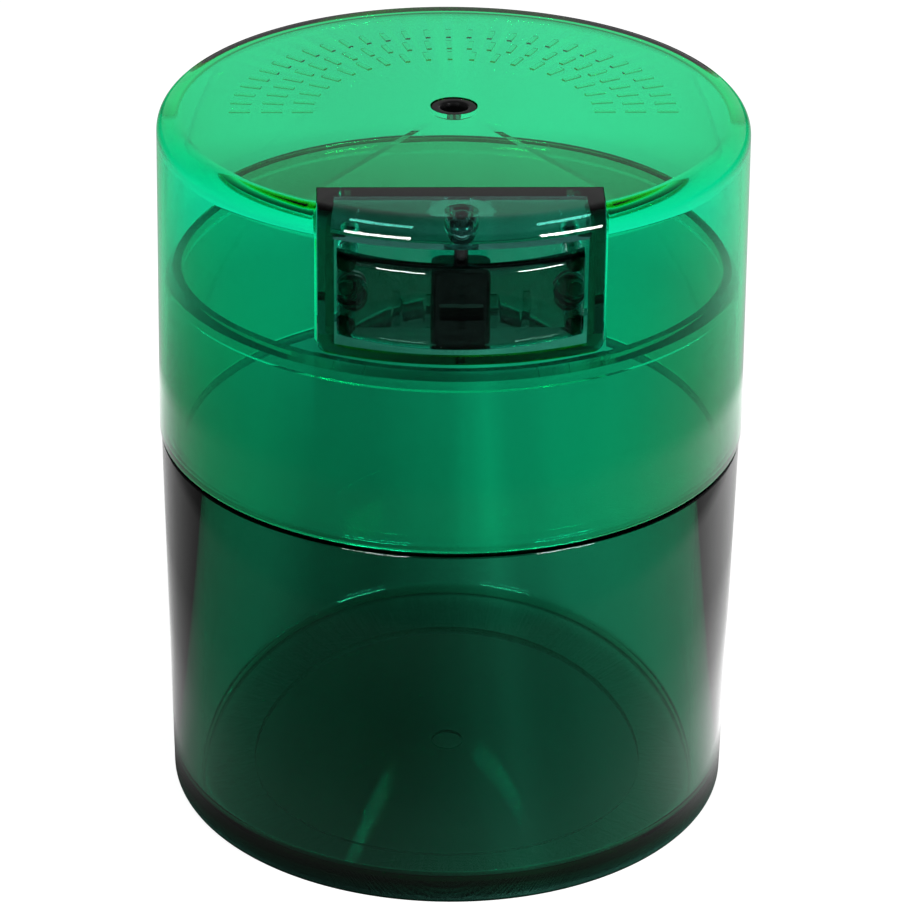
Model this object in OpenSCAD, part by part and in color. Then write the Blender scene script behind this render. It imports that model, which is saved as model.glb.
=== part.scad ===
// Round press-button storage jar with a lift-off vacuum cap.
// The button side faces -Y, +Z is up, and the origin is the centre of the base. Sizes are in mm.

/* [Overall] */
// Outer radius at the top of the cap
cap_radius = 35; // [31:0.5:42]
// How much wider the cap is at its mouth than at its top
cap_flare = 0.4; // [0:0.1:1]
// Height from the table to the top of the cap
total_height = 89; // [82:0.5:110]

/* [Jar] */
// Height of the shoulder that the cap comes down to
shoulder_height = 47.6; // [35:0.2:55]
// How far the cap's mouth stands out past the shoulder
shoulder_inset = 0.2; // [0.1:0.1:1]
// Loss of radius from the shoulder down to the base
base_taper = 0.7; // [0:0.1:1.5]
// Wall of the neck
neck_wall = 1.5; // [1:0.1:2]
// Radial room between the plain neck and the cap
neck_clearance = 0.3; // [0.2:0.05:0.6]
// Radial running fit between the sealing lip and the cap
lip_clearance = 0.06; // [0.02:0.01:0.1]
// Height of the sealing lip at the top of the neck
lip_height = 2; // [1.6:0.1:4]
// How far the lead-in at the top of the lip goes inwards
lip_lead_in = 0.8; // [0.3:0.1:1]
// Space left between the top of the neck and the button housing
neck_top_gap = 1.7; // [1.2:0.1:3]
// Loss of bore radius from the mouth of the neck to the floor
bore_draft = 0.3; // [0:0.1:1]
// Thickness of the floor at the foot ring
floor_thickness = 2.6; // [2:0.1:5]
// Rounding inside the jar where wall and floor meet
floor_corner_radius = 1.6; // [0.8:0.1:4]
// Rounding of the outer bottom edge
base_edge_radius = 1; // [0.5:0.1:3]
// Radius of the recess inside the foot ring
foot_recess_radius = 24.8; // [15:0.1:29]
// Depth of the recess inside the foot ring
foot_recess_depth = 0.8; // [0.3:0.1:1.2]
// Radius of the moulding mark in the middle of the underside
gate_mark_radius = 2; // [1:0.1:4]
// Depth of that mark
gate_mark_depth = 0.4; // [0.1:0.1:0.6]

/* [Cap] */
// Side wall of the cap at its top
cap_wall = 1.2; // [1:0.1:1.8]
// Thickness of the top plate
top_plate = 1.9; // [1.2:0.1:3]
// Rounding of the outer top edge
top_edge_radius = 2.5; // [1:0.1:3]
// Rounding inside the cap where wall and top meet
inner_edge_radius = 1.9; // [0.4:0.1:3.4]
// Gap at the seam between cap and shoulder
seam_gap = 0.35; // [0.3:0.05:0.6]
// Lead-in chamfer inside the cap's mouth
mouth_chamfer = 0.6; // [0.2:0.1:1]
// Radius of the hole in the middle of the top
centre_hole_radius = 2.8; // [1.5:0.1:4]
// Radius of the dimple in the rubber stopper, at its brim
dimple_radius = 1.6; // [0.8:0.1:2]
// Depth of the dimple
dimple_depth = 1.2; // [0.6:0.1:1.4]

/* [Button housing] */
// Width of the button assembly
button_width = 32.1; // [28:0.1:36]
// Depth of the button assembly, back from the front of the cap
button_depth = 10.55; // [10:0.05:12.5]
// Height of the housing, down from the top of the cap
housing_height = 16.9; // [16:0.1:19]
// Rounding of the housing's two lower corners
housing_corner = 1; // [0.5:0.1:1.5]
// Gap all round the housing where it is bonded into the cap
housing_fit = 0.1; // [0.05:0.01:0.2]
// Side and back walls of the housing
housing_wall = 1.85; // [1.7:0.05:2.2]
// Thickness of the housing's roof
housing_roof = 1.5; // [1.2:0.1:2.4]
// How far the front lip hangs below the roof
lip_drop = 1.5; // [1:0.1:2]
// Thickness of the front lip
lip_depth = 2.3; // [1:0.1:3]
// Rounding inside the housing where the front lip meets the roof
lip_round = 1.4; // [0.3:0.1:1.8]
// Height of the sill under the window
sill_height = 0.9; // [0.7:0.1:1.2]
// Radius of the valve's socket under the roof
socket_radius = 1.9; // [1.7:0.1:2.4]
// How far the socket reaches below the middle of the valve's ball
socket_cover = 0.55; // [0.5:0.05:0.8]
// Radius of the raised disc round the socket
socket_disc_radius = 3.7; // [2.8:0.1:4]
// Height of that disc
socket_disc_height = 0.3; // [0.2:0.05:0.6]
// Radius of the air hole in the housing's floor, under the valve
vent_radius = 0.5; // [0.3:0.05:0.7]
// How far the air hole lies in front of the valve's middle
vent_offset = 0.8; // [0.5:0.1:1]

/* [Press pad] */
// Radius of the pad's curved face
pad_face_radius = 25; // [24:0.5:32]
// Thickness of the pad
pad_thickness = 1.6; // [1.4:0.1:1.7]
// How far the middle of the pad lies back from the cap's surface
pad_inset = 0.4; // [0.2:0.1:0.5]
// Gap between the pad and the window at each side and below
pad_gap = 0.3; // [0.25:0.05:0.5]
// Open slot between the front lip and the top of the pad
pad_slot = 2.5; // [2:0.1:3]
// Rounding of the pad's front edges
pad_edge_radius = 0.9; // [0.4:0.1:1.2]
// How far the pad moves inwards
pad_travel = 1; // [0.8:0.05:1.1]
// Radius of the guide posts at the pad's corners
guide_post_radius = 1.15; // [0.8:0.05:1.2]
// Radial running fit of the guide posts in the back wall
guide_clearance = 0.08; // [0.04:0.01:0.1]
// How far a guide post stands in its hole with the pad at rest
guide_engagement = 0.3; // [0.2:0.05:0.4]
// Depth of the blind guide holes in the back wall
guide_hole_depth = 1.45; // [1.35:0.05:1.65]
// Width of the pusher bar on the pad's back
pusher_width = 4.8; // [3:0.1:6]
// Height of the pusher bar
pusher_height = 1.6; // [1:0.1:2.4]
// Number of raised grip ribs on the pad
grip_rib_count = 5; // [3:1:7]
// Spacing of the grip ribs
grip_rib_pitch = 3.6; // [2:0.1:3.8]
// Height of the grip ribs
grip_rib_height = 4; // [2:0.1:7]
// Width of the grip ribs
grip_rib_width = 0.7; // [0.4:0.1:1.2]
// How far the grip ribs stand out
grip_rib_relief = 0.3; // [0.1:0.05:0.35]

/* [Valve] */
// Radius of the ball at the top of the rubber valve
valve_ball_radius = 1.2; // [1:0.05:1.4]
// Running fit of the ball in its socket, and of the foot over the air hole
valve_clearance = 0.08; // [0.05:0.01:0.1]
// Distance from the roof down to the ball's centre
valve_pivot_drop = 1.3; // [1.25:0.05:1.7]
// Radius of the valve's stem just below the ball
valve_neck_radius = 0.8; // [0.6:0.05:0.9]
// Radius of the round edges of the valve's flat paddle
valve_edge_radius = 1.5; // [1.2:0.1:1.6]
// Distance of those round edges from the middle
valve_edge_offset = 1.8; // [1:0.1:3]
// Distance from the ball's centre down to the top of the paddle
valve_shoulder_drop = 3.6; // [3.2:0.05:4.2]
// Distance from the ball's centre down to the pad's pusher
valve_arm = 8.6; // [8:0.1:10]
// Space between the pad's back and the valve's flat front at rest
valve_standoff = 1.4; // [1.3:0.1:2]
// Space between the pad's pusher and the valve at rest
pusher_gap = 0.35; // [0.3:0.05:0.5]

/* [Return springs] */
// Outer radius of the coils
spring_radius = 1.7; // [1.4:0.05:1.75]
// Thickness of the wire
spring_wire = 0.28; // [0.2:0.02:0.32]
// Number of sloping coils
spring_turns = 2; // [1:1:2]
// Radius of the post inside each spring
spring_post_radius = 0.8; // [0.5:0.05:1]
// Distance of each spring from the middle of the pad
spring_offset = 12; // [10:0.1:12.1]

/* [Hidden] */
$fn = 96;
eps = 0.01;
big = 200;
base_r = cap_radius + cap_flare - shoulder_inset - base_taper;
shoulder_r = cap_radius + cap_flare - shoulder_inset;
cap_bore_r = cap_radius - cap_wall;
neck_r = cap_bore_r - neck_clearance;
lip_r = cap_bore_r - lip_clearance;
bore_top_r = neck_r - neck_wall;
bore_bottom_r = bore_top_r - bore_draft;
housing_z = total_height - housing_height;
neck_top = housing_z - neck_top_gap;
seam_z = shoulder_height + seam_gap;
plate_z = total_height - top_plate;
plug_r = centre_hole_radius - 0.03;
plug_low = plate_z - 0.2;
plug_top = total_height - 0.1;
back_y = button_depth - cap_radius;
sill_z = housing_z + sill_height;
roof_z = total_height - housing_roof;
window_top = roof_z - lip_drop;
window_half = button_width / 2 - housing_wall;
back_wall_y = back_y - housing_wall;
lip_inner_r = cap_radius - lip_depth;
pad_axis_y = pad_face_radius - cap_radius + pad_inset - cap_flare / 4;
pad_back_r = pad_face_radius - pad_thickness;
pad_half = window_half - pad_gap;
pad_bottom = sill_z + pad_gap;
pad_top = window_top - pad_slot;
pad_mid = (pad_bottom + pad_top) / 2;
pad_end_y = pad_axis_y - sqrt(pad_back_r * pad_back_r - pad_half * pad_half);
pad_centre_back_y = pad_axis_y - pad_back_r;
post_x = pad_half - guide_post_radius - 0.15;
post_top_z = pad_top - guide_post_radius - 0.1;
post_low_z = pad_bottom + guide_post_radius + 0.2;
post_end_y = back_wall_y + guide_engagement;
valve_y = pad_centre_back_y + valve_standoff + valve_edge_radius;
pivot_z = roof_z - valve_pivot_drop;
valve_reach = pivot_z - sill_z - valve_clearance;
pusher_z = pivot_z - valve_arm;
valve_half = valve_edge_offset + valve_edge_radius;

// Which piece to draw

// A flat outline from the axis out to r, from z0 up to z1, with its top outer corner rounded
module rounded_top_outline(r_low, r_high, z0, z1, e) {
  polygon([[0, z0], [r_low, z0], [r_high, z1 - e], [r_high - e, z1], [0, z1]]);
  translate([r_high - e, z1 - e])
    circle(r = e);
}

// The solid that the cap and the button housing share as their outer skin
module cap_envelope() {
  rotate_extrude()
    rounded_top_outline(cap_radius + cap_flare, cap_radius, seam_z, total_height, top_edge_radius);
}

// A box that is centred on X, from y0 to y1 and from z0 to z1
module slab(half, y0, y1, z0, z1) {
  translate([-half, y0, z0])
    cube([2 * half, y1 - y0, z1 - z0]);
}

// A slab with its two lower long edges rounded
module rounded_slab(half, y0, y1, z0, z1, e) {
  translate([0, y1, 0])
    rotate([90, 0, 0])
      linear_extrude(height = y1 - y0) {
        polygon([[-half, z0 + e], [-half + e, z0], [half - e, z0], [half, z0 + e], [half, z1],
                 [-half, z1]]);
        for (side = [-1, 1])
          translate([side * (half - e), z0 + e])
            circle(r = e);
      }
}

// A round bar along +Y from y0 to y1
module bar_y(x, z, r, y0, y1) {
  translate([x, y0, z])
    rotate([-90, 0, 0])
      cylinder(r = r, h = y1 - y0);
}

module jar_outline() {
  polygon([
    [0, 0],
    [base_r - base_edge_radius, 0],
    [base_r, base_edge_radius],
    [shoulder_r, shoulder_height],
    [neck_r, shoulder_height],
    [neck_r, neck_top - lip_height - 0.4],
    [lip_r, neck_top - lip_height],
    [lip_r, neck_top - lip_lead_in - 0.1],
    [lip_r - lip_lead_in, neck_top],
    [0, neck_top]
  ]);
  translate([base_r - base_edge_radius, base_edge_radius])
    circle(r = base_edge_radius);
}

module jar_bore_outline() {
  polygon([
    [0, floor_thickness],
    [bore_bottom_r - floor_corner_radius, floor_thickness],
    [bore_bottom_r, floor_thickness + floor_corner_radius],
    [bore_top_r, neck_top],
    [bore_top_r, neck_top + 1],
    [0, neck_top + 1]
  ]);
  translate([bore_bottom_r - floor_corner_radius, floor_thickness + floor_corner_radius])
    circle(r = floor_corner_radius);
}

// The jar: thick straight-bored wall, a stepped neck with a sealing lip, and a foot ring
module jar_body() {
  color([0.09, 0.36, 0.24, 0.6])
    difference() {
      rotate_extrude()
        jar_outline();
      rotate_extrude()
        jar_bore_outline();
      translate([0, 0, -1])
        cylinder(r = foot_recess_radius, h = foot_recess_depth + 1);
      cylinder(r = gate_mark_radius, h = foot_recess_depth + gate_mark_depth);
    }
}

// The inside of the cap, up to the underside of the top plate
module cap_cavity() {
  rotate_extrude()
    rounded_top_outline(cap_bore_r, cap_bore_r, seam_z - 1, plate_z, inner_edge_radius);
  translate([0, 0, seam_z - eps])
    cylinder(r1 = cap_bore_r + mouth_chamfer, r2 = cap_bore_r, h = mouth_chamfer);
}

// The cap: one moulding with a cut-out for the housing in its front top corner
module cap_shell() {
  color([0.1, 0.6, 0.36, 0.5])
    difference() {
      cap_envelope();
      cap_cavity();
      rounded_slab(button_width / 2 + housing_fit, -big, back_y + housing_fit,
                   housing_z - housing_fit, total_height + 1, housing_corner + housing_fit);
      translate([0, 0, plate_z - 1])
        cylinder(r = centre_hole_radius, h = top_plate + 2);
    }
}

module plug_outline() {
  polygon([
    [0, plug_low],
    [plug_r - 0.2, plug_low],
    [plug_r, plug_low + 0.2],
    [plug_r, plug_top - 0.2],
    [plug_r - 0.2, plug_top],
    [dimple_radius, plug_top],
    [dimple_radius * 0.8, plug_top - dimple_depth * 0.25],
    [dimple_radius * 0.6, plug_top - dimple_depth * 0.85],
    [dimple_radius * 0.5, plug_top - dimple_depth],
    [0, plug_top - dimple_depth]
  ]);
}

// The rubber stopper in the middle of the top, flush with it and with a round dimple
module centre_plug() {
  color([0.06, 0.06, 0.06])
    rotate_extrude()
      plug_outline();
}

module guide_holes() {
  for (side = [-1, 1]) {
    for (z = [post_low_z, post_top_z])
      bar_y(side * post_x, z, guide_post_radius + guide_clearance, back_wall_y - 1,
            back_wall_y + guide_hole_depth);
  }
}

// The room inside the housing: open at the window, and reaching up behind the front lip
module housing_room() {
  difference() {
    union() {
      slab(window_half, -big, back_wall_y, sill_z, window_top);
      intersection() {
        slab(window_half, -big, back_wall_y, sill_z, roof_z);
        rotate_extrude()
          rounded_top_outline(lip_inner_r, lip_inner_r, sill_z - 1, roof_z, lip_round);
      }
    }
    translate([0, valve_y, pivot_z - socket_cover])
      cylinder(r = socket_radius, h = big);
    translate([0, valve_y, roof_z - socket_disc_height])
      cylinder(r = socket_disc_radius, h = big);
  }
}

// The housing: smoked box with a roof, a front window, a floor and a socket for the valve
module button_housing() {
  color([0.12, 0.14, 0.15, 0.7])
    difference() {
      intersection() {
        cap_envelope();
        rounded_slab(button_width / 2, -big, back_y, housing_z, total_height + 1, housing_corner);
      }
      housing_room();
      translate([0, valve_y, pivot_z])
        sphere(r = valve_ball_radius + valve_clearance);
      translate([0, valve_y - vent_offset, housing_z - 1])
        cylinder(r = vent_radius, h = sill_height + 2);
      guide_holes();
    }
}

// Raised plain ribs for grip, following the curve of the pad
module grip_ribs() {
  intersection() {
    translate([0, pad_axis_y, pad_mid - grip_rib_height / 2])
      difference() {
        cylinder(r = pad_face_radius + grip_rib_relief, h = grip_rib_height);
        translate([0, 0, -1])
          cylinder(r = pad_face_radius - 0.5, h = grip_rib_height + 2);
      }
    for (i = [0 : grip_rib_count - 1])
      translate([(i - (grip_rib_count - 1) / 2) * grip_rib_pitch, 0, 0])
        slab(grip_rib_width / 2, -big, pad_axis_y - pad_face_radius / 2, 0, big);
  }
}

module pad_outline() {
  x0 = pad_back_r;
  x1 = pad_face_radius;
  e = pad_edge_radius;
  polygon([[x0, pad_bottom], [x1 - e, pad_bottom], [x1, pad_bottom + e], [x1, pad_top - e],
           [x1 - e, pad_top], [x0, pad_top]]);
  for (z = [pad_bottom + e, pad_top - e])
    translate([x1 - e, z])
      circle(r = e);
}

// The press pad: curved plate on four guide posts, with two spring posts and a pusher
module press_pad() {
  color([0.12, 0.14, 0.15, 0.7]) {
    intersection() {
      translate([0, pad_axis_y, 0])
        rotate_extrude()
          pad_outline();
      slab(pad_half, -big, pad_axis_y - 10, 0, big);
    }
    grip_ribs();
    for (side = [-1, 1]) {
      for (z = [post_low_z, post_top_z])
        bar_y(side * post_x, z, guide_post_radius, pad_end_y - 1.2, post_end_y);
      bar_y(side * spring_offset, pad_mid, spring_radius + 0.15, pad_end_y - 1.6, pad_end_y);
      bar_y(side * spring_offset, pad_mid, spring_post_radius, pad_end_y - 0.5,
            back_wall_y - pad_travel - 0.35);
    }
    slab(pusher_width / 2, pad_centre_back_y - 0.4, valve_y - valve_edge_radius - pusher_gap,
         pusher_z - pusher_height / 2, pusher_z + pusher_height / 2);
  }
}

// The rubber valve: ball, thin neck and a flat paddle whose foot is rounded about the hinge line
module valve_plug() {
  color([0.05, 0.05, 0.05])
    translate([0, valve_y, pivot_z]) {
      sphere(r = valve_ball_radius);
      translate([0, 0, -valve_shoulder_drop - 0.4])
        cylinder(r = valve_neck_radius, h = valve_shoulder_drop + 0.4);
      intersection() {
        translate([0, 0, -valve_reach - 1])
          linear_extrude(height = valve_reach + 1 - valve_shoulder_drop) {
            square([2 * valve_edge_offset, 2 * valve_edge_radius], center = true);
            for (side = [-1, 1])
              translate([side * valve_edge_offset, 0])
                circle(r = valve_edge_radius);
          }
        rotate([0, 90, 0])
          translate([0, 0, -valve_half - 1])
            cylinder(r = valve_reach, h = 2 * valve_half + 2);
      }
    }
}

// Half a coil of wire, from angle 0 round to 180 degrees
module half_coil(radius) {
  rotate_extrude(angle = 180)
    translate([radius, 0])
      circle(d = spring_wire);
}

// One return spring between the pad and the housing's back wall: flat half coils joined by
// sloping ones, which climb one pitch each, with a round bend at every joint
module return_spring(side) {
  length = back_wall_y - pad_end_y - 0.04;
  bend = spring_wire * 1.2;
  radius = spring_radius - bend / 2;
  pitch = (length - bend) / spring_turns;
  slope = atan(pitch / (2 * radius));
  color([0.55, 0.56, 0.58])
    translate([side * spring_offset, pad_end_y + 0.02, pad_mid])
      rotate([-90, 0, 0])
        translate([0, 0, bend / 2])
          for (i = [0 : spring_turns]) {
            translate([0, 0, i * pitch])
              half_coil(radius);
            if (i < spring_turns)
              translate([0, 0, (i + 0.5) * pitch])
                rotate([0, slope, 180])
                  half_coil(radius / cos(slope));
            for (end = [-1, 1])
              translate([end * radius, 0, i * pitch])
                sphere(d = bend);
          }
}

module return_spring_left() {
  return_spring(-1);
}

module return_spring_right() {
  return_spring(1);
}

jar_body();
cap_shell();
centre_plug();
button_housing();
press_pad();
valve_plug();
return_spring_left();
return_spring_right();
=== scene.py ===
import bpy
import bmesh
from math import cos, pi, radians, sin, sqrt
from mathutils import Matrix, Vector


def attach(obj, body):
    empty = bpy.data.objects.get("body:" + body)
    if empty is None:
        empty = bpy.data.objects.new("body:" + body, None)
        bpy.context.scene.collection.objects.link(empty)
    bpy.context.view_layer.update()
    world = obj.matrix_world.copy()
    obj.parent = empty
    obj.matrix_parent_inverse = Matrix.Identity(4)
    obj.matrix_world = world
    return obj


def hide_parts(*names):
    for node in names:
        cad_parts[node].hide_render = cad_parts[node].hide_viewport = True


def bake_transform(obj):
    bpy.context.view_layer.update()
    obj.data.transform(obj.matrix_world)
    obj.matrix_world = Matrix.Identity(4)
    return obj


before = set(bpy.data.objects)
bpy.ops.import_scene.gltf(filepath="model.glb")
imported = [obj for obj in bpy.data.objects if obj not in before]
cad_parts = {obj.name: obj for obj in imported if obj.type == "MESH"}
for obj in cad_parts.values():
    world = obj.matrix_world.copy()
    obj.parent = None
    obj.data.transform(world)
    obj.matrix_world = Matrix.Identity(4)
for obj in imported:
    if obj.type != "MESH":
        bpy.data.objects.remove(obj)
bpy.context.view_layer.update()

MM = 0.001

# ---------------------------------------------------------------------------------------------
# Jar body: one thick injection moulding in clear, smoky green plastic. Straight polished bore,
# rounded floor, foot ring with a recess and a gate mark, and a stepped neck with a sealing lip.
# ---------------------------------------------------------------------------------------------


def arc(cx, cz, r, start, end, steps=8):
    """Points of a rounding in a turned profile, angles in degrees from the +X side."""
    return [
        (cx + r * cos(radians(start + (end - start) * i / steps)),
         cz + r * sin(radians(start + (end - start) * i / steps)))
        for i in range(steps + 1)
    ]


def turned(name, profile, steps=288, axis=(0.0, 0.0)):
    """A closed solid turned about an upright axis from a half profile of (radius, height) in mm."""
    bm = bmesh.new()
    points = [bm.verts.new((r * MM, 0, z * MM)) for r, z in profile]
    pairs = zip(points, points[1:] + points[:1])
    outline = [bm.edges.new(pair) for pair in pairs]
    bmesh.ops.spin(bm, geom=points + outline, cent=(0, 0, 0), axis=(0, 0, 1), angle=2 * pi,
                   steps=steps, use_merge=True)
    return closed(bm, name, axis)


def closed(bm, name, axis=(0.0, 0.0)):
    """Welds a mesh, points its faces outwards and makes it an object with crisp edges kept."""
    bmesh.ops.remove_doubles(bm, verts=bm.verts, dist=1e-6)
    bmesh.ops.dissolve_degenerate(bm, edges=bm.edges, dist=1e-6)
    loose = [v for v in bm.verts if not v.link_faces]
    bmesh.ops.delete(bm, geom=loose, context="VERTS")
    bmesh.ops.recalc_face_normals(bm, faces=bm.faces)
    bmesh.ops.translate(bm, verts=bm.verts, vec=(axis[0] * MM, axis[1] * MM, 0))
    mesh = bpy.data.meshes.new(name)
    bm.to_mesh(mesh)
    bm.free()
    mesh.shade_smooth()
    mesh.set_sharp_from_angle(angle=radians(28))
    piece = bpy.data.objects.new(name, mesh)
    bpy.context.scene.collection.objects.link(piece)
    return piece


class Value:
    """A shader socket that can be used in sums: each operator adds its Math node."""

    def __init__(self, finish, socket):
        self.finish, self.socket, self.node = finish, socket, socket.node

    def _math(self, operation, a, b):
        return self.finish.node("ShaderNodeMath", {"operation": operation}, {0: a, 1: b})

    def __add__(self, other):
        return self._math("ADD", self, other)

    def __radd__(self, other):
        return self._math("ADD", other, self)

    def __sub__(self, other):
        return self._math("SUBTRACT", self, other)

    def __rsub__(self, other):
        return self._math("SUBTRACT", other, self)

    def __mul__(self, other):
        return self._math("MULTIPLY", self, other)

    def __rmul__(self, other):
        return self._math("MULTIPLY", other, self)


class Finish:
    """A material, or the world, that is built up node by node."""

    def __init__(self, owner):
        sky = not isinstance(owner, str)
        self.material = owner if sky else bpy.data.materials.new(owner)
        self.material.use_nodes = True
        self.tree = self.material.node_tree
        self.tree.nodes.clear()
        kind = "ShaderNodeOutputWorld" if sky else "ShaderNodeOutputMaterial"
        self.output = self.tree.nodes.new(kind)

    def node(self, kind, settings=None, values=None, out=0):
        made = self.tree.nodes.new(kind)
        for key, value in (settings or {}).items():
            if key == "stops":
                ramp = made.color_ramp
                while len(ramp.elements) < len(value):
                    ramp.elements.new(0.5)
                for element, (place, level) in zip(ramp.elements, value):
                    element.position = place
                    element.color = (level, level, level, 1)
            else:
                setattr(made, key, value)
        for key, value in (values or {}).items():
            if isinstance(value, Value):
                self.tree.links.new(value.socket, made.inputs[key])
            else:
                made.inputs[key].default_value = value
        return Value(self, made.outputs[out])

    def surface(self, value):
        self.tree.links.new(value.socket, self.output.inputs["Surface"])

    def volume(self, value):
        self.tree.links.new(value.socket, self.output.inputs["Volume"])


def clear_plastic(name, tint, density, ripple, scuff):
    """Polished see-through plastic: tinted right through, slightly rippled, with wipe marks."""
    f = Finish(name)
    place = f.node("ShaderNodeTexCoord", out=3)
    flow = f.node("ShaderNodeTexNoise", None, {"Vector": place, "Scale": 34.0, "Detail": 1.0})
    grain = f.node("ShaderNodeMapping", {"vector_type": "POINT"},
                   {"Vector": place, "Rotation": (0.5, 0.3, 0.9), "Scale": (2600.0, 90.0, 260.0)})
    hair = f.node("ShaderNodeTexNoise", None, {"Vector": grain, "Scale": 1.0, "Detail": 2.0})
    marks = f.node("ShaderNodeValToRGB", {"stops": [(0.0, 0.0), (0.70, 0.0), (0.76, 1.0)]},
                   {0: hair})
    where = f.node("ShaderNodeTexNoise", None, {"Vector": place, "Scale": 60.0, "Detail": 2.0})
    polish, swell, groove = 0.004, 0.5, 0.02
    rough = polish + marks * where * scuff
    height = flow * swell - marks * groove
    bump = f.node("ShaderNodeBump", None,
                  {"Height": height, "Strength": ripple, "Distance": 0.0002})
    skin = f.node("ShaderNodeBsdfPrincipled", None,
                  {"Base Color": (1, 1, 1, 1), "Roughness": rough, "IOR": 1.57,
                   "Transmission Weight": 1.0, "Normal": bump})
    f.surface(skin)
    f.volume(f.node("ShaderNodeVolumeAbsorption", None, {"Color": tint, "Density": density}))
    return f.material


base_r, shoulder_r, neck_r, lip_r = 34.5, 35.2, 33.5, 33.74
bore_top_r, bore_low_r = 32.0, 31.7
neck_top, shoulder, shoulder_round = 70.4, 47.6, 0.25
lip_h, lip_step, lead_in, lead_in_h = 2.0, 0.4, 0.8, 0.9
floor_t, floor_round, base_round = 2.6, 1.6, 1.0
recess_r, recess_h, gate_r, gate_h = 24.8, 0.8, 2.0, 0.4

jar_profile = (
    [(0, recess_h + gate_h), (gate_r, recess_h + gate_h), (gate_r, recess_h),
     (recess_r, recess_h), (recess_r, 0)]
    + arc(base_r - base_round, base_round, base_round, -90, 0, 10)
    + arc(shoulder_r - shoulder_round, shoulder - shoulder_round, shoulder_round, 0, 90, 5)
    + [(neck_r, shoulder), (neck_r, neck_top - lip_h - lip_step), (lip_r, neck_top - lip_h),
       (lip_r, neck_top - lead_in_h), (lip_r - lead_in, neck_top), (bore_top_r, neck_top)]
    + arc(bore_low_r - floor_round, floor_t + floor_round, floor_round, 0, -90, 10)
    + [(0, floor_t)]
)
jar = turned("jar", jar_profile)
jar.data.materials.append(
    clear_plastic("smoky green clear plastic", (0.0, 0.68, 0.54, 1), 750.0, 0.12, 0.12))
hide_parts("jar_body")
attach(jar, "jar")

# ---------------------------------------------------------------------------------------------
# Cap: one moulding in brighter clear green plastic, with a rounded top edge, a hole in the middle
# and an opening cut through its front top corner. Plain ticks stand out under the rear of its top.
# ---------------------------------------------------------------------------------------------


def joined(piece, tool, how):
    """Adds, cuts or intersects a tool solid, keeps the result and throws the tool away."""
    step = piece.modifiers.new("joint", "BOOLEAN")
    step.operation, step.object, step.solver = how, tool, "EXACT"
    bpy.context.view_layer.update()
    seen = piece.evaluated_get(bpy.context.evaluated_depsgraph_get())
    mesh = bpy.data.meshes.new_from_object(seen)
    piece.modifiers.clear()
    old, piece.data = piece.data, mesh
    bpy.data.meshes.remove(old)
    mesh.name = piece.name
    bpy.data.objects.remove(tool, do_unlink=True)
    mesh.shade_smooth()
    mesh.set_sharp_from_angle(angle=radians(28))
    return piece


def block(half, y0, y1, z0, z1):
    """A box centred on X, sizes in mm."""
    bm = bmesh.new()
    bmesh.ops.create_cube(bm, size=1)
    bmesh.ops.scale(bm, vec=(2 * half * MM, (y1 - y0) * MM, (z1 - z0) * MM), verts=bm.verts)
    bmesh.ops.translate(bm, vec=(0, (y0 + y1) / 2 * MM, (z0 + z1) / 2 * MM), verts=bm.verts)
    return closed(bm, "tool block")


def box_outline(half, y0, y1, z0, z1, corner):
    """A box like block(), with its two lower long edges rounded."""
    tool = block(half, y0, y1, z0, z1)
    bm = bmesh.new()
    bm.from_mesh(tool.data)
    low = [e for e in bm.edges if all(v.co.z < z0 * MM + 1e-6 for v in e.verts)
           and abs(e.verts[0].co.x - e.verts[1].co.x) < 1e-6]
    bmesh.ops.bevel(bm, geom=low, offset=corner * MM, segments=8, profile=0.5, affect="EDGES",
                    material=-1)
    bm.to_mesh(tool.data)
    bm.free()
    return tool


def peg(x, y, z, r0, r1, h, along="Z", steps=64):
    """A round bar or cone from a point, along +Z or +Y, sizes in mm."""
    bm = bmesh.new()
    bmesh.ops.create_cone(bm, cap_ends=True, segments=steps, radius1=r0 * MM, radius2=r1 * MM,
                          depth=h * MM)
    bmesh.ops.translate(bm, vec=(0, 0, h / 2 * MM), verts=bm.verts)
    if along == "Y":
        bmesh.ops.rotate(bm, matrix=Matrix.Rotation(-pi / 2, 3, "X"), verts=bm.verts)
    bmesh.ops.translate(bm, vec=(x * MM, y * MM, z * MM), verts=bm.verts)
    return closed(bm, "tool peg")


cap_r, mouth_r, mouth_round, cap_bore = 35.0, 35.4, 0.3, 33.8
top, plate, seam, top_round, inner_round = 89.0, 87.1, 48.1, 2.5, 1.9
hole_r, button_w, back_y, outside_y = 2.8, 32.1, -24.45, -60
housing_z, corner, fit, valve_y = 72.1, 1.0, 0.1, -30.2
skin_profile = arc(cap_r - top_round, top - top_round, top_round, 0, 90, 12)


def cap_skin():
    return turned("tool skin", [(0, seam), (mouth_r, seam)] + skin_profile + [(0, top)])


cap = turned("cap", arc(mouth_r - mouth_round, seam + mouth_round, mouth_round, -90, 0, 5)
             + skin_profile + [(0, top), (0, plate)]
             + arc(cap_bore - inner_round, plate - inner_round, inner_round, 90, 0, 8)
             + [(cap_bore, seam)])
joined(cap, box_outline(button_w / 2 + fit, outside_y, back_y + fit, housing_z - fit, top + 2,
                        corner + fit), "DIFFERENCE")
joined(cap, peg(0, 0, plate - 1, hole_r, hole_r, 5, steps=96), "DIFFERENCE")
tick_w, tick_l, tick_h, tick_root = 0.6, 2.5, 0.22, 0.1
tick_rows = ((25.2, 31), (21.4, 27), (17.8, 21))
bm = bmesh.new()
for tick_r, count in tick_rows:
    for i in range(count):
        turn = Matrix.Rotation(pi * i / (count - 1), 4, "Z")
        shape = turn @ Matrix.Translation((tick_r * MM, 0, (plate + tick_root) * MM))
        bmesh.ops.create_cube(bm, size=1, matrix=shape @ Matrix.Diagonal(
            (tick_l * MM, tick_w * MM, 2 * (tick_h + tick_root) * MM, 1)))
joined(cap, closed(bm, "tool ticks"), "UNION")
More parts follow.
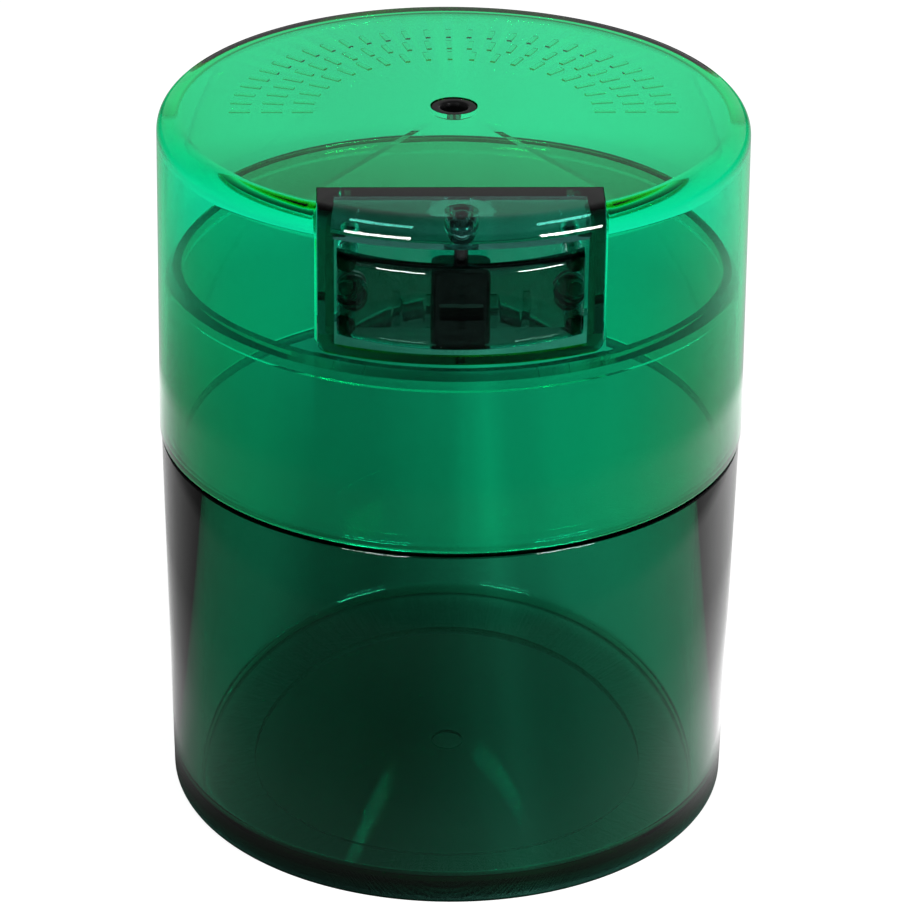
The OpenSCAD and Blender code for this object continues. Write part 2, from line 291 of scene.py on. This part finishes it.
cap.data.materials.append(
    clear_plastic("bright green clear plastic", (0.0, 0.97, 0.85, 1), 2000.0, 0.12, 0.10))
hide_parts("cap_shell")
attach(cap, "lid")

# ---------------------------------------------------------------------------------------------
# Centre plug: a black rubber stopper moulded round and pushed into the cap's middle hole. Its top
# lies just below the plate and has a rounded rim and a dimple.
# ---------------------------------------------------------------------------------------------


def rubber(name, shade, rough):
    f = Finish(name)
    place = f.node("ShaderNodeTexCoord", out=3)
    bloom = f.node("ShaderNodeTexNoise", None, {"Vector": place, "Scale": 900.0, "Detail": 3.0})
    bump = f.node("ShaderNodeBump", None, {"Height": bloom, "Strength": 0.25, "Distance": 0.00005})
    colour = f.node("ShaderNodeMix", {"data_type": "RGBA"},
                    {0: bloom, 6: (shade, shade, shade, 1),
                     7: (shade * 2, shade * 2, shade * 2.1, 1)}, out=2)
    f.surface(f.node("ShaderNodeBsdfPrincipled", None,
                     {"Base Color": colour, "Roughness": rough + bloom * 0.08, "IOR": 1.33,
                      "Normal": bump}))
    return f.material


black_rubber = rubber("black rubber", 0.006, 0.12)
plug_r, plug_top, plug_low, plug_bevel, plug_round = 2.77, 88.9, 86.9, 0.2, 0.25
dimple_r, dimple_h, dimple_round = 1.6, 1.2, 0.3
plug = turned("plug", [(0, plug_low), (plug_r - plug_bevel, plug_low),
                       (plug_r, plug_low + plug_bevel)]
              + arc(plug_r - plug_round, plug_top - plug_round, plug_round, 0, 90, 6)
              + arc(dimple_r + dimple_round, plug_top - dimple_round, dimple_round, 90, 162.6, 6)
              + [(dimple_r - 0.25, plug_top - dimple_h + 0.15),
                 (dimple_r - 0.4, plug_top - dimple_h), (0, plug_top - dimple_h)], steps=96)
plug.data.materials.append(black_rubber)
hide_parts("centre_plug")
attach(plug, "lid")

# ---------------------------------------------------------------------------------------------
# Button housing: smoke-grey clear moulding pushed into the cap's opening. Its roof and front follow
# the cap's skin. It has a window, a sill, guide holes in its back wall and the valve's socket.
# ---------------------------------------------------------------------------------------------

wall, roof, lip_depth, lip_round = 1.85, 88.05, 2.3, 1.4
window_top, sill_z = 86.0, 73.0
window_half, back_wall_y = button_w / 2 - wall, back_y - wall
pivot_z, ball_r, socket_r, socket_low = 86.2, 1.2, 1.9, 85.65
post_x, post_low, post_high, post_r, running_fit = 12.6, 74.65, 82.25, 1.15, 0.08
disc_low_r, disc_r, disc_h, vent_r, vent_offset = 3.66, 3.7, 0.12, 0.5, 0.8

housing = joined(box_outline(button_w / 2, outside_y, back_y, housing_z, top + 1, corner),
                 cap_skin(), "INTERSECT")
housing.name = "housing"
room = block(window_half, outside_y, back_wall_y, sill_z, roof)
lip_inner_r = cap_r - lip_depth
lip_bar = joined(block(60, outside_y, 0, window_top, roof + 5),
                 turned("tool ring", [(0, 0), (lip_inner_r, 0)]
                        + arc(lip_inner_r - lip_round, roof - lip_round, lip_round, 0, 90, 8)
                        + [(0, roof)]), "DIFFERENCE")
joined(room, lip_bar, "DIFFERENCE")
joined(room, peg(0, valve_y, socket_low, socket_r, socket_r, 9, steps=96), "DIFFERENCE")
joined(room, peg(0, valve_y, roof - disc_h, disc_low_r, disc_r, 0.14, steps=96), "DIFFERENCE")
joined(housing, room, "DIFFERENCE")
bm = bmesh.new()
bmesh.ops.create_uvsphere(bm, u_segments=48, v_segments=24, radius=(ball_r + running_fit) * MM)
bmesh.ops.translate(bm, vec=(0, valve_y * MM, pivot_z * MM), verts=bm.verts)
joined(housing, closed(bm, "tool ball"), "DIFFERENCE")
joined(housing, peg(0, valve_y - vent_offset, housing_z - 1, vent_r, vent_r, 4, steps=32),
       "DIFFERENCE")
for side in (-1, 1):
    for z in (post_low, post_high):
        joined(housing, peg(side * post_x, back_wall_y - 1, z, post_r + running_fit,
                            post_r + running_fit, 2.45, "Y", 48), "DIFFERENCE")
housing.data.materials.append(
    clear_plastic("smoke grey clear plastic", (0.45, 0.79, 0.75, 1), 1200.0, 0.10, 0.10))
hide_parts("button_housing")
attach(housing, "lid")

# ---------------------------------------------------------------------------------------------
# Press pad: curved smoke-grey clear plate with rounded front edges and plain grip ribs, on four
# guide posts, with two spring posts and a pusher for the valve. It slides into the housing.
# ---------------------------------------------------------------------------------------------

face_r, pad_t, pad_axis, edge = 25.0, 1.6, -9.7, 0.9
pad_half, pad_low, pad_high = 13.9, 73.3, 83.5
rib_half, rib_pitch, rib_relief, rib_half_h = 0.35, 3.6, 0.3, 2
post_root, post_end_y = 1.2, -26.0
spring_x, collar_r, collar_h, spring_post_r, spring_post_gap = 12, 1.85, 1.6, 0.8, 1.35
pusher_half, pusher_half_h, pusher_drop, pusher_reach = 2.4, 0.8, 8.6, 1.85
pad_back, pad_mid = face_r - pad_t, (pad_low + pad_high) / 2
pad_end_y = pad_axis - sqrt(pad_back ** 2 - pad_half ** 2)

pad = turned("pad", [(pad_back, pad_low)] + arc(face_r - edge, pad_low + edge, edge, -90, 0, 8)
             + arc(face_r - edge, pad_high - edge, edge, 0, 90, 8) + [(pad_back, pad_high)],
             axis=(0, pad_axis))
joined(pad, block(pad_half, outside_y, pad_axis - 10, 60, 100), "INTERSECT")
rib_in, rib_out = face_r - 0.5, face_r + rib_relief
for i in range(5):
    x = (i - 2) * rib_pitch
    rib = joined(block(rib_half, outside_y, -22, pad_mid - rib_half_h, pad_mid + rib_half_h),
                 turned("tool ring", [(rib_in, 60), (rib_out, 60), (rib_out, 100), (rib_in, 100)],
                        axis=(-x, pad_axis)), "INTERSECT")
    for v in rib.data.vertices:
        v.co.x += x * MM
    joined(pad, rib, "UNION")
for side in (-1, 1):
    for z in (post_low, post_high):
        joined(pad, peg(side * post_x, pad_end_y - post_root, z, post_r, post_r,
                        post_end_y - pad_end_y + post_root, "Y", 48), "UNION")
    joined(pad, peg(side * spring_x, pad_end_y - collar_h, pad_mid, collar_r, collar_r, collar_h,
                    "Y", 48), "UNION")
    joined(pad, peg(side * spring_x, pad_end_y - 0.5, pad_mid, spring_post_r, spring_post_r,
                    back_wall_y - spring_post_gap - pad_end_y + 0.5, "Y", 48), "UNION")
pusher_z = pivot_z - pusher_drop
joined(pad, block(pusher_half, pad_axis - pad_back - 0.4, valve_y - pusher_reach,
                  pusher_z - pusher_half_h, pusher_z + pusher_half_h), "UNION")
pad.data.materials.append(
    clear_plastic("dark smoke clear plastic", (0.11, 0.36, 0.30, 1), 1100.0, 0.10, 0.10))
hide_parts("press_pad")
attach(pad, "pad")

# ---------------------------------------------------------------------------------------------
# Valve: black rubber, moulded in one, hung by its ball in the housing's socket, its rounded foot
# over the air hole. Springs: drawn steel wire coils round the two spring posts, which shorten
# between the pad and the housing's back wall.
# ---------------------------------------------------------------------------------------------

foot_r, paddle_half, paddle_r = pivot_z - sill_z - running_fit, 1.8, 1.5
paddle_top, valve_neck_r, valve_neck_low = 82.6, 0.8, 82.0
bm = bmesh.new()
bmesh.ops.create_uvsphere(bm, u_segments=40, v_segments=24, radius=ball_r * MM)
bmesh.ops.translate(bm, vec=(0, valve_y * MM, pivot_z * MM), verts=bm.verts)
valve = closed(bm, "valve")
joined(valve, peg(0, valve_y, valve_neck_low, valve_neck_r, valve_neck_r, pivot_z - paddle_top,
                  steps=40), "UNION")
stadium = (arc(paddle_half, valve_y, paddle_r, -90, 90, 16)
           + arc(-paddle_half, valve_y, paddle_r, 90, 270, 16))
bm = bmesh.new()
sole = bm.faces.new([bm.verts.new((x * MM, y * MM, 60 * MM)) for x, y in stadium])
walls = bmesh.ops.extrude_face_region(bm, geom=[sole], use_keep_orig=True)["geom"]
bmesh.ops.translate(bm, verts=[v for v in walls if isinstance(v, bmesh.types.BMVert)],
                    vec=(0, 0, (paddle_top - 60) * MM))
paddle = closed(bm, "paddle")
bm = bmesh.new()
bmesh.ops.create_cone(bm, cap_ends=True, segments=128, radius1=foot_r * MM,
                      radius2=foot_r * MM, depth=30 * MM)
bmesh.ops.rotate(bm, matrix=Matrix.Rotation(pi / 2, 3, "Y"), verts=bm.verts)
bmesh.ops.translate(bm, vec=(0, valve_y * MM, pivot_z * MM), verts=bm.verts)
joined(paddle, closed(bm, "tool roller"), "INTERSECT")
joined(valve, paddle, "UNION")
valve.data.materials.append(black_rubber)
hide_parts("valve_plug")
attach(valve, "valve")


def drawn_wire(name):
    f = Finish(name)
    place = f.node("ShaderNodeTexCoord", out=3)
    line = f.node("ShaderNodeTexNoise", None, {"Vector": place, "Scale": 4000.0, "Detail": 2.0})
    f.surface(f.node("ShaderNodeBsdfPrincipled", None,
                     {"Base Color": (0.35, 0.35, 0.36, 1), "Metallic": 1.0,
                      "Roughness": 0.22 + line * 0.2}))
    return f.material


spring_wire = drawn_wire("drawn spring wire")
for side in ("left", "right"):
    node = "return_spring_" + side
    coil = bmesh.new()
    coil.from_mesh(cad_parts[node].data)
    spring = closed(coil, "spring_" + side)
    spring.data.materials.append(spring_wire)
    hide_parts(node)
    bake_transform(spring)

# ---------------------------------------------------------------------------------------------
# Stage: pale table, pale surround, two soft boxes in front, and a camera. The ramps paint light and
# shade that only rays through the clear plastic, or reflections in it, see: a painted shadow of the
# jar and painted light on the table, painted light in the surround, and painted reflections that
# are dark in front and bright behind.
# ---------------------------------------------------------------------------------------------

# Painted light and shade. The first list is the surround as reflections see it: a painted
# reflection, dark in front and bright behind. TABLE_GLOW and NEAR_GLOW: a painted reflection of the
# table, brightest just round the jar's foot. FAR_LIGHT: painted shadow of the jar on the table,
# seen through the plastic, lighter further off. SIDE_GLOW and SIDE_REACH: painted light on the
# table beside the jar, seen through the plastic. CEILING: painted light of the surround seen
# through the plastic, bright near the horizon and dim overhead.
PAINTED_REFLECTED_SURROUND = [(0.0, 0.03), (0.52, 0.05), (0.74, 0.2), (0.89, 0.58), (1.0, 1.0)]
TABLE_GLOW = [(0.0, 0.035), (0.2, 0.045), (0.3, 0.07), (0.39, 0.1), (0.48, 0.18), (0.6, 0.3),
              (0.7, 0.5), (0.79, 0.68), (0.88, 0.78)]
NEAR_GLOW = [(0.17, 0.04), (0.195, 1.0), (0.25, 0.85), (0.3, 0.6), (0.41, 0.4), (0.5, 0.47),
             (0.59, 0.55), (0.63, 0.27), (0.7, 0.25)]
FAR_LIGHT = [(0.0, 0.0), (0.144, 0.06), (0.388, 0.1), (0.56, 0.16), (0.73, 0.25), (0.8, 0.45),
             (0.88, 0.76)]
SIDE_GLOW = [(0.0, 0.4), (0.2, 0.3), (0.3, 0.02), (0.4, 0.0), (0.46, 0.12), (0.53, 0.3),
             (0.556, 0.45), (0.591, 0.68), (0.626, 0.45), (0.66, 0.46), (0.7, 0.62), (0.8, 0.75)]
SIDE_REACH = [(0.15, 0.2), (0.185, 0.75), (0.3, 1.0), (0.5, 0.95), (0.65, 0.45), (0.9, 0.2)]
CEILING = [(0.0, 1.0), (0.2, 1.0), (0.4, 0.35), (0.6, 0.1), (1.0, 0.03)]


def ray_kinds(f):
    """Switches for rays seen directly, rays through clear plastic, and reflections alone."""
    seen = f.node("ShaderNodeLightPath").node.outputs
    through = Value(f, seen["Is Transmission Ray"])
    return (Value(f, seen["Is Camera Ray"]), through,
            Value(f, seen["Is Glossy Ray"]) * (1 - through))


def along(f, way, axis):
    """How far a position or direction lies along an axis."""
    return f.node("ShaderNodeVectorMath", {"operation": "DOT_PRODUCT"}, {0: way, 1: axis}, out=1)


rearward, rightward, upward = (0.3, 0.95, 0), (1, 0, 0), (0, 0, 1)
bm = bmesh.new()
bmesh.ops.create_grid(bm, x_segments=1, y_segments=1, size=6)
table = closed(bm, "table")
f = Finish("pale table")
direct, through, mirrored = ray_kinds(f)
spot = f.node("ShaderNodeNewGeometry")
toward = f.node("ShaderNodeVectorMath", {"operation": "NORMALIZE"}, {0: spot})
behind = along(f, toward, rearward)
beside = along(f, spot, rightward)
away = f.node("ShaderNodeVectorMath", {"operation": "LENGTH"}, {0: spot}, out=1)
reach = f.node("ShaderNodeValToRGB", {"stops": SIDE_REACH}, {0: away * 5})
side_light = f.node("ShaderNodeValToRGB", {"stops": SIDE_GLOW}, {0: beside * 10 + 0.5}) * reach
falloff = f.node("ShaderNodeValToRGB", {"stops": TABLE_GLOW},
                 {0: behind * 0.5 + 0.6 - away * 1.2})
fade = f.node("ShaderNodeValToRGB", {"stops": NEAR_GLOW}, {0: away * 5})
far_light = f.node("ShaderNodeValToRGB", {"stops": FAR_LIGHT}, {0: away * 4})
# Painted light and shade on the table: its diffuse colour is painted darker for rays through the
# plastic; the lift emission makes the table white for direct rays and paints light and the jar's
# shadow for rays through the plastic; the glow emission, seen only in reflections, is a painted
# reflection of the table, dark in front of the jar.
table_diffuse = f.node("ShaderNodeBsdfDiffuse", None, {"Color": 0.85 - through * 0.4})
lift = f.node("ShaderNodeEmission", None,
              {"Color": direct * 0.75 + through * (side_light + far_light), "Strength": 1.0})
glow = f.node("ShaderNodeEmission", None, {"Color": falloff * (fade * 2.5), "Strength": 1.0})
both = f.node("ShaderNodeAddShader", None, {0: table_diffuse, 1: lift})
f.surface(f.node("ShaderNodeMixShader", None, {0: mirrored, 1: both, 2: glow}))
table.data.materials.append(f.material)

world = bpy.data.worlds.new("pale surround")
bpy.context.scene.world = world
f = Finish(world)
direct, through, mirrored = ray_kinds(f)
toward = f.node("ShaderNodeTexCoord", out=0)
behind = along(f, toward, rearward)
falloff = f.node("ShaderNodeValToRGB", {"stops": PAINTED_REFLECTED_SURROUND}, {0: behind * 0.5 + 0.5})
height = along(f, toward, upward)
ceiling = f.node("ShaderNodeValToRGB", {"stops": CEILING}, {0: height})
# The surround is white to direct rays and lights the scene at 0.25. Rays through the plastic see
# painted light, bright near the horizon and dim overhead. Reflections see dim_air, a painted
# reflection that is dark in front and bright behind.
open_air = f.node("ShaderNodeBackground", None,
                  {"Color": (1, 1, 1, 1),
                   "Strength": 0.25 + direct * 0.75 + through * (ceiling - 0.25)})
dim_air = f.node("ShaderNodeBackground", None, {"Color": falloff, "Strength": 0.35})
f.surface(f.node("ShaderNodeMixShader", None, {0: mirrored, 1: open_air, 2: dim_air}))


def soft_box(name, azimuth, elevation, distance, width, height, power):
    """A soft box that faces the jar from an azimuth to the right of the button side, in degrees."""
    a, e = radians(azimuth), radians(elevation)
    middle = Vector((0, 0, 0.05))
    place = Vector((sin(a) * cos(e), -cos(a) * cos(e), sin(e))) * distance + middle
    lamp = bpy.data.lights.new(name, "AREA")
    lamp.shape, lamp.size, lamp.size_y, lamp.energy = "RECTANGLE", width, height, power
    box = bpy.data.objects.new(name, lamp)
    box.location = place
    box.rotation_euler = (middle - place).to_track_quat("-Z", "Y").to_euler()
    bpy.context.scene.collection.objects.link(box)


soft_box("left soft box", -29, 8, 0.9, 0.39, 0.17, 6.0)
soft_box("right soft box", 41.7, 8, 0.9, 0.37, 0.17, 8.0)

lens = bpy.data.cameras.new("camera")
sensor, focal, frame_width = 36, 4139.4, 908
lens.sensor_width, lens.lens = sensor, sensor * focal / frame_width
lens.clip_start = 0.01
eye = bpy.data.objects.new("camera", lens)
tilt, swing, roll, stand_off = radians(26.747), radians(-1.9), radians(0.661), 0.507401
aim_right, aim_height = 0.00047, 0.043151
aim = Vector((aim_right * cos(swing), aim_right * sin(swing), aim_height))
back = Vector((sin(swing) * cos(tilt), -cos(swing) * cos(tilt), sin(tilt)))
eye.location = aim + back * stand_off
look = (-back).to_track_quat("-Z", "Y")
eye.rotation_euler = (look.to_matrix() @ Matrix.Rotation(roll, 3, "Z")).to_euler()
bpy.context.scene.collection.objects.link(eye)
bpy.context.scene.camera = eye

scene = bpy.context.scene
scene.view_settings.view_transform = "Standard"
scene.cycles.max_bounces = 32
scene.cycles.transmission_bounces = 32
scene.cycles.glossy_bounces = 12
scene.cycles.diffuse_bounces = 3
